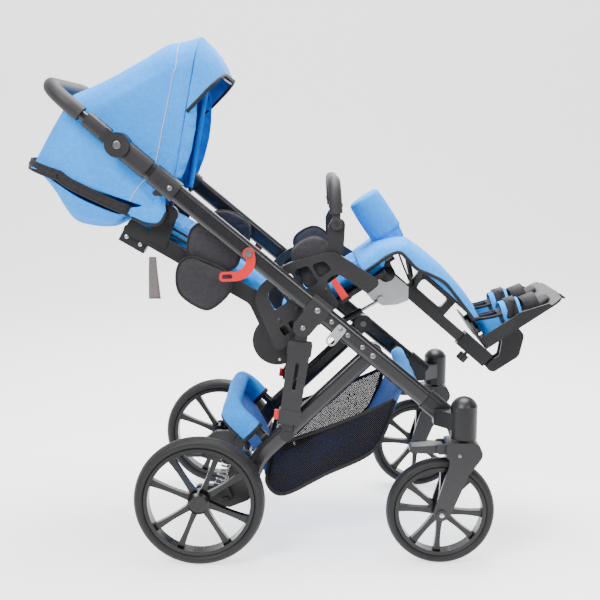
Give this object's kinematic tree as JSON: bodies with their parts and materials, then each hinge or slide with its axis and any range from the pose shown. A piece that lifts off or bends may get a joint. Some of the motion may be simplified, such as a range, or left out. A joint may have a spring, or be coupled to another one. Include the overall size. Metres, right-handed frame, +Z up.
{
  "type": "special needs stroller",
  "caption": "Folding stroller for a disabled child: tilting padded seat with canopy, leg rest and foot plate on a sprung tubular chassis with swivel casters and a basket.",
  "frame": {"origin": "on the floor under the centre of the bounding box", "axes": "+X forward in the direction of travel, +Y to the child's left, +Z up"},
  "size_m": [1.2546, 0.625, 1.1957],
  "materials": {
    "frame_tube": "satin anthracite powder coat",
    "black_plastic": "fine-grained black moulding",
    "grey_plastic": "fine-grained dark grey moulding",
    "red_plastic": "glossy red moulding",
    "steel": "zinc-plated steel",
    "tyre": "smooth black rubber",
    "foam_grip": "soft closed-cell foam",
    "blue_cloth": "woven blue cloth",
    "black_cloth": "woven black cloth",
    "mesh_cloth": "open mesh with cloth panels",
    "footplate_metal": "textured black coat",
    "sandal": "blue and black foam shoe"
  },
  "bodies": {
    "chassis": {"main_tubes": "frame_tube", "handle_hinges_lower": "grey_plastic", "caster_housings": "black_plastic", "front_cross_tube": "frame_tube", "strut_brackets": "grey_plastic", "tie_down_eyes": "steel", "chassis_fasteners": "steel"},
    "handle": {"handle_hinges_upper": "grey_plastic", "handle_tube": "frame_tube", "handle_grip": "foam_grip"},
    "rear_frame": {"rear_legs": "frame_tube", "suspension_brackets": "black_plastic", "basket_bar": "frame_tube", "rear_beam": "frame_tube", "basket": "mesh_cloth", "swing_spring_left": "steel", "swing_spring_right": "steel"},
    "brake_pedal": {"brake_pedal": "grey_plastic"},
    "strut_outer": {"strut_sleeves": "grey_plastic"},
    "strut_inner": {"strut_stems": "black_plastic"},
    "seat": {"seat_sides": "grey_plastic", "seat_pan": "black_plastic", "seat_cushion": "blue_cloth", "hip_pads": "black_cloth", "abduction_block": "blue_cloth"},
    "tilt_tabs": {"tilt_tabs": "red_plastic"},
    "bumper": {"bumper_bar": "foam_grip"},
    "backrest": {"backrest_frame": "black_plastic", "back_cushion": "blue_cloth", "lateral_pads": "black_cloth", "canopy_hood": "blue_cloth"},
    "canopy_front": {"canopy_bow": "black_plastic"},
    "leg_rest": {"leg_column": "frame_tube", "calf_pad": "blue_cloth"},
    "gas_barrel": {"gas_barrel": "black_plastic"},
    "gas_rod": {"gas_rod": "steel"},
    "foot_slide": {"foot_clamp": "black_plastic"},
    "clamp_knob": {"clamp_knob": "black_plastic"},
    "foot_plate": {"foot_plate": "footplate_metal", "foot_cups": "sandal"},
    "handle_button_left": {"handle_button_left": "steel"},
    "strut_button_left": {"strut_button_left": "red_plastic"},
    "fold_hook_left": {"fold_hook_left": "red_plastic"},
    "swing_left": {"swing_arm_left": "grey_plastic"},
    "rear_wheel_left": {"rear_rim_left": "black_plastic", "rear_tyre_left": "tyre"},
    "caster_left": {"caster_fork_left": "grey_plastic"},
    "front_wheel_left": {"front_rim_left": "black_plastic", "front_tyre_left": "tyre"},
    "caster_lock_left": {"caster_lock_left": "grey_plastic"},
    "handle_button_right": {"handle_button_right": "steel"},
    "strut_button_right": {"strut_button_right": "red_plastic"},
    "fold_hook_right": {"fold_hook_right": "red_plastic"},
    "swing_right": {"swing_arm_right": "grey_plastic"},
    "rear_wheel_right": {"rear_rim_right": "black_plastic", "rear_tyre_right": "tyre"},
    "caster_right": {"caster_fork_right": "grey_plastic"},
    "front_wheel_right": {"front_rim_right": "black_plastic", "front_tyre_right": "tyre"},
    "caster_lock_right": {"caster_lock_right": "grey_plastic"}
  },
  "joints": [
    {"name": "handle_swing", "type": "hinge", "parent": "chassis", "child": "handle", "pos_m": [-0.40936, 0, 0.95118], "axis": [0, 1, 0], "range_deg": [-25, 40]},
    {"name": "frame_fold", "type": "hinge", "parent": "chassis", "child": "rear_frame", "pos_m": [0.16147, 0, 0.47558], "axis": [0, 1, 0], "range_deg": [0, 30], "deforming": ["basket"]},
    {"name": "strut_swing", "type": "hinge", "parent": "chassis", "child": "strut_outer", "pos_m": [0.00165, 0, 0.54106], "axis": [0, 1, 0], "range_deg": [0, 32.1]},
    {"name": "strut_slide", "type": "slide", "parent": "strut_outer", "child": "strut_inner", "axis": [0.1467, 0, 0.9892], "range_m": [0, 0.0914]},
    {"name": "brake_press", "type": "hinge", "parent": "rear_frame", "child": "brake_pedal", "pos_m": [-0.1488, 0, 0.15], "axis": [0, -1, 0], "range_deg": [0, 18]},
    {"name": "seat_tilt", "type": "hinge", "parent": "chassis", "child": "seat", "pos_m": [0.03493, 0, 0.58101], "axis": [0, 1, 0], "range_deg": [-5, 20]},
    {"name": "tab_pull", "type": "slide", "parent": "seat", "child": "tilt_tabs", "axis": [-0.5534, 0, 0.8329], "range_m": [0, 0.008], "stiffness_N_per_m": 150, "springref_m": -0.004},
    {"name": "bumper_swing", "type": "hinge", "parent": "seat", "child": "bumper", "pos_m": [0.07892, 0, 0.77219], "axis": [0, 1, 0], "range_deg": [-30, 25]},
    {"name": "back_recline", "type": "hinge", "parent": "seat", "child": "backrest", "pos_m": [-0.0588, 0, 0.497], "axis": [0, 1, 0], "range_deg": [-35, 20]},
    {"name": "canopy_fold", "type": "hinge", "parent": "backrest", "child": "canopy_front", "pos_m": [-0.30394, 0, 0.79441], "axis": [0, -1, 0], "range_deg": [0, 40], "deforming": ["canopy_hood"]},
    {"name": "leg_raise", "type": "hinge", "parent": "seat", "child": "leg_rest", "pos_m": [0.20878, 0, 0.63636], "axis": [0, -1, 0], "range_deg": [-15, 28]},
    {"name": "gas_swing", "type": "hinge", "parent": "seat", "child": "gas_barrel", "pos_m": [0.07601, 0, 0.50733], "axis": [0, -1, 0], "range_deg": [-9.2, 9.2]},
    {"name": "gas_extend", "type": "slide", "parent": "gas_barrel", "child": "gas_rod", "axis": [0.8683, 0, 0.496], "range_m": [-0.0151, 0.0264]},
    {"name": "foot_reach", "type": "slide", "parent": "leg_rest", "child": "foot_slide", "axis": [0.7559, 0, -0.6547], "range_m": [0, 0.05]},
    {"name": "knob_turn", "type": "hinge", "parent": "foot_slide", "child": "clamp_knob", "pos_m": [0.42269, 0, 0.45107], "axis": [0.6547, 0, 0.7559], "continuous": true},
    {"name": "foot_angle", "type": "hinge", "parent": "foot_slide", "child": "foot_plate", "pos_m": [0.47485, 0, 0.4059], "axis": [0, 1, 0], "range_deg": [-12, 15]},
    {"name": "handle_button_left_press", "type": "slide", "parent": "handle", "child": "handle_button_left", "axis": [0, -1, 0], "range_m": [0, 0.004], "stiffness_N_per_m": 600, "springref_m": -0.002},
    {"name": "strut_button_left_press", "type": "slide", "parent": "strut_outer", "child": "strut_button_left", "axis": [0.9892, 0, -0.1467], "range_m": [0, 0.0025], "stiffness_N_per_m": 600, "springref_m": -0.002},
    {"name": "fold_hook_left_turn", "type": "hinge", "parent": "chassis", "child": "fold_hook_left", "pos_m": [-0.12049, 0.235, 0.7105], "axis": [0, 1, 0], "range_deg": [-30, 60]},
    {"name": "swing_left_travel", "type": "hinge", "parent": "rear_frame", "child": "swing_left", "pos_m": [-0.1768, 0.227, 0.132], "axis": [0, 1, 0], "range_deg": [0, 7], "stiffness_Nm_per_rad": 70, "springref_deg": -6.88, "deforming": ["swing_spring_left"]},
    {"name": "rear_wheel_left_spin", "type": "hinge", "parent": "swing_left", "child": "rear_wheel_left", "pos_m": [-0.2338, 0.285, 0.15], "axis": [0, 1, 0], "continuous": true},
    {"name": "caster_left_swivel", "type": "hinge", "parent": "chassis", "child": "caster_left", "pos_m": [0.3662, 0.27, 0.32], "axis": [0, 0, 1], "continuous": true},
    {"name": "front_wheel_left_spin", "type": "hinge", "parent": "caster_left", "child": "front_wheel_left", "pos_m": [0.3162, 0.27, 0.124], "axis": [0, 1, 0], "continuous": true},
    {"name": "caster_lock_left_flip", "type": "hinge", "parent": "caster_left", "child": "caster_lock_left", "pos_m": [0.3132, 0.27, 0.274], "axis": [0, 1, 0], "range_deg": [0, 20]},
    {"name": "handle_button_right_press", "type": "slide", "parent": "handle", "child": "handle_button_right", "axis": [0, 1, 0], "range_m": [0, 0.004], "stiffness_N_per_m": 600, "springref_m": -0.002},
    {"name": "strut_button_right_press", "type": "slide", "parent": "strut_outer", "child": "strut_button_right", "axis": [0.9892, 0, -0.1467], "range_m": [0, 0.0025], "stiffness_N_per_m": 600, "springref_m": -0.002},
    {"name": "fold_hook_right_turn", "type": "hinge", "parent": "chassis", "child": "fold_hook_right", "pos_m": [-0.12049, -0.235, 0.7105], "axis": [0, 1, 0], "range_deg": [-30, 60]},
    {"name": "swing_right_travel", "type": "hinge", "parent": "rear_frame", "child": "swing_right", "pos_m": [-0.1768, -0.227, 0.132], "axis": [0, 1, 0], "range_deg": [0, 7], "stiffness_Nm_per_rad": 70, "springref_deg": -6.88, "deforming": ["swing_spring_right"]},
    {"name": "rear_wheel_right_spin", "type": "hinge", "parent": "swing_right", "child": "rear_wheel_right", "pos_m": [-0.2338, -0.285, 0.15], "axis": [0, 1, 0], "continuous": true},
    {"name": "caster_right_swivel", "type": "hinge", "parent": "chassis", "child": "caster_right", "pos_m": [0.3662, -0.27, 0.32], "axis": [0, 0, 1], "continuous": true},
    {"name": "front_wheel_right_spin", "type": "hinge", "parent": "caster_right", "child": "front_wheel_right", "pos_m": [0.3162, -0.27, 0.124], "axis": [0, 1, 0], "continuous": true},
    {"name": "caster_lock_right_flip", "type": "hinge", "parent": "caster_right", "child": "caster_lock_right", "pos_m": [0.3132, -0.27, 0.274], "axis": [0, 1, 0], "range_deg": [0, 20]}
  ],
  "couplings": [
    {"joint": "strut_swing", "follows": "frame_fold", "ratio": 1.0208},
    {"joint": "strut_slide", "follows": "frame_fold", "m_per_rad": 0.17069},
    {"joint": "gas_swing", "follows": "leg_raise", "ratio": -0.275},
    {"joint": "gas_extend", "follows": "leg_raise", "m_per_rad": 0.04994}
  ]
}
